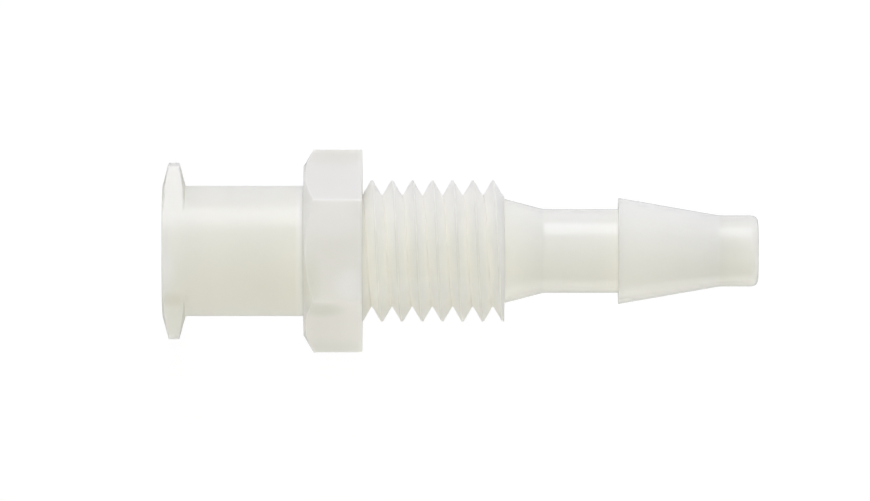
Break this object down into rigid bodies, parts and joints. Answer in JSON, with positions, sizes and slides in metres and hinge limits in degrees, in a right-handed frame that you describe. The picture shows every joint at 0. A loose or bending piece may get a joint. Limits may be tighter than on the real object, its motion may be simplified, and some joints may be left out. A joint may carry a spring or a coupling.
{
  "type": "bulkhead luer fitting",
  "caption": "Moulded plastic bulkhead fitting: female luer socket with lugs, hexagon, panel thread and a single-barb hose stem on one straight bore.",
  "frame": {"origin": "on the flow axis, at the face of the hexagon that seats on the panel", "axes": "+X along the flow axis from the luer mouth to the hose nose, +Y through one luer lug and one corner of the hexagon, +Z square to a flat of the hexagon; the part lies on the opposite flat"},
  "size_m": [0.0268, 0.0092, 0.008],
  "materials": {
    "natural_polypropylene": "natural, uncoloured polypropylene, slightly translucent, satin as moulded"
  },
  "bodies": {
    "root": {"luer_fitting_body": "natural_polypropylene"}
  },
  "joints": []
}
